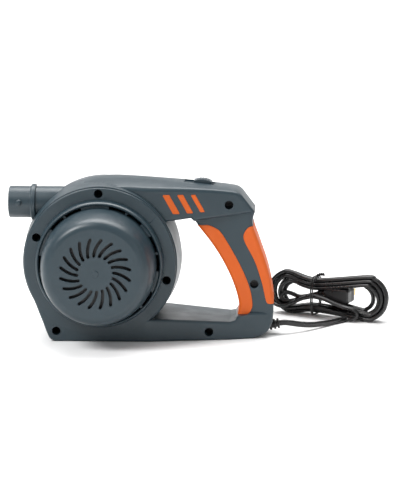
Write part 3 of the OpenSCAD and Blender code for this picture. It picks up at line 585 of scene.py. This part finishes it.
def casing_half(depth, front):
    shell = half_solid(depth)
    hollow = half_solid(depth, -WALL)
    columns = [rod(p, SCREW_POST_R, -FAR, 1) for p in SCREWS] + [outlet_rod(SPIGOT_R + WALL, -66, -42)]
    boolean(hollow, joined(columns), crossing=True)
    boolean(shell, hollow)
    if front:
        lip = rounded([(60.2, 1 - depth, 0), (59.4, -47.4, 1.2), (58.2, -49.7, 1.2), (56.5, -49.5, 1.0), (LIP_R, -48, 0.4),
                       (COVER_R + 0.1, -48, 0), (COVER_R + 0.1, 1 - depth, 0)])
        union(shell, turned("lip", [(p.x, p.y) for p in lip], ring=True))
    boolean(shell, behind_parting(-120))
    if front:
        boolean(shell, joined([rod(p, SCREW_HOLE_R, -12, 1) for p in SCREWS]))
        tools = [rod(p, SCREW_HEAD_R, -FAR, -10) for p in SCREWS]
        tools += [rod((0, 0), MOTOR_HOLE_R, -FAR, 3 - depth, 96)]
        tools += [arc_slot(COVER_R + 0.15, LIP_R - 0.1, middle - VENT_HALF, middle + VENT_HALF, -FAR, 3 - depth)
                  for a in VENT_ANGLES for middle in (a - VENT_APART, a + VENT_APART)]
    else:
        tools = [rod((0, 0), SPIGOT_R + SLACK, -FAR, -28, 96)]
    boolean(shell, joined(tools))
    place = switch_frame()
    boolean(shell, outlet_rod(SPIGOT_R + SLACK, -95, -31.5))
    boolean(shell, outlet_rod(17.15, -95, -62.3))
    boolean(shell, prism("slot", [(-16, -9), (10, -9), (10, 5), (-16, 5)], -2.6, 2.6, place))
    boolean(shell, prism("recess", [(-17.5, -1), (11.5, -1), (11.5, 8), (-17.5, 8)], -7, 7, place))
    boolean(shell, turned("exit", [(0, -10), (4.7, -10), (4.7, 8), (5.5, 8), (5.5, 30), (0, 30)], RELIEF, 48))
    inlay = grown_core(-INLAY_DEPTH)
    for pad in (FINGER_PAD, PALM_PAD):
        boolean(shell, boolean(pad_column(pad, PAD_GAP), inlay, keep=True))
    bpy.data.objects.remove(inlay)
    boolean(shell, boolean(stripe_columns(STRIPE_GAP), grown_upper(-INLAY_DEPTH)))
    return shell


def pad_piece(pad):
    return boolean(boolean(grown_core(PROUD), pad_column(pad, 0), "INTERSECT"), behind_parting(0))


def stripe_piece():
    return boolean(boolean(grown_upper(0.3), stripe_columns(0), "INTERSECT"), grown_upper(-1.3))


for side, depth in (("front", 40), ("rear", 38)):
    made = {
        side + "_shell": (casing_half(depth, side == "front"), "casing_plastic"),
        side + "_finger_pad": (pad_piece(FINGER_PAD), "orange_grip"),
        side + "_palm_pad": (pad_piece(PALM_PAD), "orange_grip"),
        side + "_stripes": (stripe_piece(), "orange_grip"),
    }
    for node_name, (obj, slot) in made.items():
        if side == "rear":
            mirrored(obj)
        obj.name = node_name + "_moulding"
        smoothed(finish(obj, slot, replaces=[node_name]))


# ---- cover ----

COVER_FRONT = 88
COVER = [(COVER_R, -40), (COVER_R, -56)] + [tuple(p) for p in curve(
    [(52.9, -63), (52, -70), (50.6, -77), (49.2, -81.6), (47.2, -85), (44.4, -87.2), (41, -COVER_FRONT)], 4)]
SLOT_IN, SLOT_OUT, SLOT_W, SLOT_COUNT = 15.4, 33.2, 2.9, 20
COVER_WALL = 2.4


def swirl_slot(turn):
    """A slot that starts radial and sweeps clockwise as it runs outwards, with round ends."""
    r0, r1, w = SLOT_IN + SLOT_W / 2, SLOT_OUT - SLOT_W / 2, SLOT_W / 2
    mid = [polar(r, turn + 113 - 17 * ((r - SLOT_IN) / (SLOT_OUT - SLOT_IN)) ** 1.2)
           for r in [r0 + (r1 - r0) * k / 10 for k in range(11)]]
    left, right = [], []
    for k, p in enumerate(mid):
        t = (mid[min(k + 1, 10)] - mid[max(k - 1, 0)]).normalized()
        side = Vector((-t.y, t.x)) * w
        left.append(p + side)
        right.append(p - side)

    def cap(centre, start):
        a = degrees(atan2(start.y - centre.y, start.x - centre.x))
        return [centre + polar(w, a - 30 * k) for k in range(1, 6)]

    return left + cap(mid[10], left[10]) + right[::-1] + cap(mid[0], right[0])


def cover_piece():
    outer = [(0, -COVER_FRONT)] + COVER[::-1] + [(COVER_R - COVER_WALL, -40)]
    inner = [(r - COVER_WALL, y + 2.2) for r, y in COVER[2:]]
    cover = turned("cover", outer + [(COVER_R - COVER_WALL, -55)] + inner + [(0, 2.2 - COVER_FRONT)], steps=180)
    slots = [prism("slot", swirl_slot(360 * k / SLOT_COUNT), -COVER_FRONT - 1, 3.5 - COVER_FRONT)
             for k in range(SLOT_COUNT)]
    boolean(cover, joined(slots))
    button = rounded([(0, -COVER_FRONT - 0.5, 0), (2.8, -COVER_FRONT - 0.5, 0.5), (3.2, 0.4 - COVER_FRONT, 0),
                      (0, 0.4 - COVER_FRONT, 0)])
    return union(cover, turned("button", [tuple(p) for p in button], steps=48))


cover = cover_piece()
cover.name = "motor_cover_moulding"
smoothed(finish(cover, "casing_plastic", replaces=["motor_cover"]), 40)
rim = cover.modifiers.new("rim", "BEVEL")
rim.width, rim.segments, rim.limit_method, rim.angle_limit = 0.35 * MM, 2, "ANGLE", radians(60)
cover.modifiers.move(1, 0)


# ---- outlet, port and switch ----

def tube(name, profile, place, steps=96):
    """A turned tube whose (radius, y, fillet) points run round its wall."""
    return turned(name, [tuple(p) for p in rounded(profile, True, 3)], place, steps, ring=True)


OUTLET = Matrix.Translation((0, 0, AXIS + OUTLET_Z)) @ Matrix.Rotation(radians(90), 4, "Z")
TIP = 88.1
nozzle = tube("nozzle", [
    (BORE_R, 32, 0), (SPIGOT_R, 32, 0), (SPIGOT_R, 62.5, 0.5), (17.1, 62.7, 0.6), (17.1, 66.8, 0.8),
    (SPIGOT_R, 67.2, 0.6), (SPIGOT_R, TIP, 0.8), (BORE_R + 0.3, TIP, 0.5), (BORE_R, TIP - 2, 0.3)], OUTLET)
for sign in (-1, 1):
    pin = rounded([(0, 10, 0), (2.8, 10, 0), (2.8, 15.6, 0.4), (1.9, 16.5, 0.8), (0, 16.8, 0)])
    side = (Matrix.Translation((10 - TIP, 0, AXIS + OUTLET_Z)) @ Matrix.Rotation(radians(6 * sign), 4, "X")
            @ Matrix.Rotation(radians(180 if sign < 0 else 0), 4, "Z"))
    union(nozzle, turned("pin", [tuple(p) for p in pin], side, 32))
boolean(nozzle, rod((0, 0), BORE_R - 0.02, 9, TIP + 1, 96, OUTLET))
nozzle.name = "outlet_spigot_moulding"
smoothed(finish(nozzle, "casing_plastic", replaces=["outlet_nozzle"]), 40)

port = tube("deflate_port_moulding", [
    (BORE_R, 30, 0), (SPIGOT_R, 30, 0), (SPIGOT_R, 33, 0.2), (19, 33, 0.3), (19, 35.5, 0.3), (SPIGOT_R, 35.5, 0.2),
    (SPIGOT_R, 48, 0.8), (BORE_R + 0.3, 48, 0.5), (BORE_R, 46, 0.3)], Matrix.Translation((0, 0, AXIS)))
smoothed(finish(port, "casing_plastic", replaces=["deflate_port"]), 40)


SLIDER_HALF, ARCH_R, ARCH_DROP = 8.2, 21, 17.3


def slider_piece():
    """The arched thumb slider, with its stem and grip ribs."""
    def arch(x):
        return (ARCH_R ** 2 - x * x) ** 0.5 - ARCH_DROP

    bm = bmesh.new()
    top = [Vector((x, arch(x))) for x in [SLIDER_HALF - 2 * SLIDER_HALF * k / 12 for k in range(13)]]
    cap = [Vector((-SLIDER_HALF, -0.6)), Vector((SLIDER_HALF, -0.6))] + top
    rings = [(0.7, -6), (0.2, -5.8), (0, -5.3), (0, 5.3), (0.2, 5.8), (0.7, 6)]
    skin(bm, [[bm.verts.new((p.x, y, p.y)) for p in inset(cap, d)] for d, y in rings])
    place = switch_frame()
    slider = piece("switch_slider_moulding", bm, place)
    for x in (-5.2, -2.6, 0, 2.6, 5.2):
        high = arch(x)
        rib = [(x - 0.55, high - 1), (x + 0.55, high - 1), (x + 0.45, high + 0.35), (x, high + 0.5),
               (x - 0.45, high + 0.35)]
        union(slider, prism("rib", rib, -4.6, 4.6, place))
    return union(slider, prism("stem", [(-3, -10.4), (3, -10.4), (3, 0.4), (-3, 0.4)], -2, 2, place))


smoothed(finish(slider_piece(), "casing_plastic", "switch", ["switch_slider"]), 34)


# ---- strain relief, tie and plug ----

def relief_piece():
    """The tapered strain relief with its collar and four ribs."""
    profile = [(0, 0, 0), (4, 0, 0), (4, 1, 0), (4.9, 1, 0.2), (4.9, 3, 0.2), (3.95, 3, 0.2)]
    for x in (8.5, 12.5, 16.5, 20):
        waist, rib = 3.9 - 0.03 * x, 5.25 - 0.02 * x
        profile += [(waist, x, 0.3), (rib, x, 0.4), (rib, x + 2, 0.4), (waist, x + 2, 0.3)]
    profile += [(2.2, 22.02, 0.3), (0, 22.02, 0)]
    return turned("strain_relief_moulding", [tuple(p) for p in rounded(profile, steps=3)], RELIEF, 48)


smoothed(finish(relief_piece(), "cord_black", replaces=["strain_relief"]), 40)


def bent_wire(name, points, r, closed=False, sides=10):
    """A wire along a line of points."""
    bm = bmesh.new()
    rows = []
    n = len(points)
    for i, p in enumerate(points):
        after, before = ((i + 1) % n, i - 1) if closed else (min(i + 1, n - 1), max(i - 1, 0))
        t = (points[after] - points[before]).normalized()
        side = t.cross(Vector((0.3, 0.2, 0.93))).normalized()
        up = side.cross(t)
        rows.append([bm.verts.new(p + (side * cos(2 * pi * k / sides) + up * sin(2 * pi * k / sides)) * r)
                     for k in range(sides)])
    skin(bm, rows + rows[:1] if closed else rows, caps=not closed)
    return piece(name, bm, Matrix.Identity(4))


def squared(value, power):
    """Pushes a circle's sine or cosine towards a rounded rectangle."""
    return abs(value) ** power * (1 if value > 0 else -1)


def tie_piece():
    """The wire tie: two turns round the hank's waist, with its ends twisted together on top."""
    loops = []
    for shift in (-0.9, 0.9):
        ring = [hank_point(TIE_U + shift * (1 + 0.3 * sin(radians(a))), -1.6 + 11.4 * squared(cos(radians(a)), 0.55),
                           20.9 + 18.8 * squared(sin(radians(a)), 0.6)) for a in range(5, 365, 10)]
        loops.append(bent_wire("loop", ring, 0.75, True))
    for phase in (0, 180):
        ends = []
        for k in range(12):
            a = radians(phase + 62 * k)
            ends.append(hank_point(TIE_U + 0.5 + 0.75 * k, -1.4 + 0.95 * cos(a),
                                   40.4 + 0.1 * k * (5 - 0.3 * k) + 0.95 * sin(a)))
        loops.append(bent_wire("end", curve(ends, 3), 0.75))
    obj = joined(loops)
    obj.name = "hank_tie"
    return obj


tie = tie_piece()
smoothed(finish(tie, "cord_black", replaces=["cord_tie"]), 60)

PLUG_U, PLUG_Z, PLUG_H, PLUG_V = (-1.5, 24), 15.5, 14.5, (-8, 10)


def plug_piece():
    """The flat plug: a rounded block with finger grips and a ribbed sleeve where the cord enters."""
    u0, u1 = PLUG_U
    corners = [(u0, PLUG_Z, 3), (u1, PLUG_Z, 3), (u1, PLUG_Z + PLUG_H, 3), (u0, PLUG_Z + PLUG_H, 3)]
    shape = rounded(corners, True, 5)
    bm = bmesh.new()
    rings = [(1.6, PLUG_V[0]), (0.5, PLUG_V[0] + 0.5), (0, PLUG_V[0] + 1.6), (0, 0), (0.45, 1), (0.45, 4), (0, 5),
             (0, PLUG_V[1] - 0.8), (0.8, PLUG_V[1])]
    skin(bm, [[bm.verts.new((p.x, y, p.y)) for p in inset(shape, d)] for d, y in rings])
    plug = piece("plug_moulding", bm, HANK)
    sleeve = [(0, -9, 0), (3.3, -9, 0.4)]
    for x in (-7.2, -4.8, -2.4):
        wider = (x + 7) * 0.1
        sleeve += [(3.9 + wider, x - 0.6, 0.3), (3.5 + wider, x - 0.5, 0.2), (3.5 + wider, x + 0.5, 0.2),
                   (4 + wider, x + 0.7, 0.3)]
    sleeve += [(4.6, 1.5, 0), (0, 1.5, 0)]
    place = HANK @ Matrix.Translation((u0, 0, PLUG_Z + PLUG_H / 2)) @ Matrix.Rotation(radians(-90), 4, "Z")
    return union(plug, turned("sleeve", [tuple(p) for p in rounded(sleeve, steps=2)], place, 36))


plug = plug_piece()
smoothed(finish(plug, "cord_black", replaces=["plug_body"]), 40)
finish(cord, "cord_black", replaces=["cord_lead", "cord_hank"])


# ---- floor and light ----

def floor():
    """The ground, in metres, which curves up into a wall at the back."""
    bm = bmesh.new()
    rows = []
    bend = [(1.2 + 1.2 * sin(radians(a)), 1.2 - 1.2 * cos(radians(a))) for a in range(10, 91, 10)]
    for back, high in [(-3.0, 0), (1.2, 0)] + bend + [(2.4, 4)]:
        rows.append([bm.verts.new((x, back, high)) for x in (-4, 4)])
    skin(bm, rows, closed=False, caps=False)
    mesh = bpy.data.meshes.new("floor")
    bm.to_mesh(mesh)
    bm.free()
    mesh.shade_smooth()
    obj = bpy.data.objects.new("floor", mesh)
    bpy.context.scene.collection.objects.link(obj)
    mesh.materials.append(material("floor", (0.86, 0.86, 0.86), 0.6, mottle=0.005, grain=300, bump=0.02, specular=0.2))


def softbox(name, place, aim, size, watts):
    light = bpy.data.lights.new(name, "AREA")
    light.shape, light.size, light.size_y, light.energy = "RECTANGLE", size[0], size[1], watts
    obj = bpy.data.objects.new(name, light)
    turn = (Vector(place) - Vector(aim)).to_track_quat("Z", "Y").to_matrix().to_4x4()
    obj.matrix_world = Matrix.Translation(place) @ turn
    bpy.context.scene.collection.objects.link(obj)


floor()
softbox("key", (-1.1, -0.9, 1.6), (0.05, 0, 0.08), (0.8, 0.8), 40)
softbox("top", (0.1, 0.6, 1.9), (0.1, 0, 0.08), (2.0, 1.2), 56)
softbox("fill", (1.7, -1.6, 0.9), (0.1, 0, 0.08), (1.2, 1.2), 4)
world = bpy.data.worlds.new("studio")
world.use_nodes = True
world.node_tree.nodes["Background"].inputs["Color"].default_value = (1, 1, 1, 1)
world.node_tree.nodes["Background"].inputs["Strength"].default_value = 0.5
bpy.context.scene.world = world
bpy.context.scene.view_settings.view_transform = "Standard"
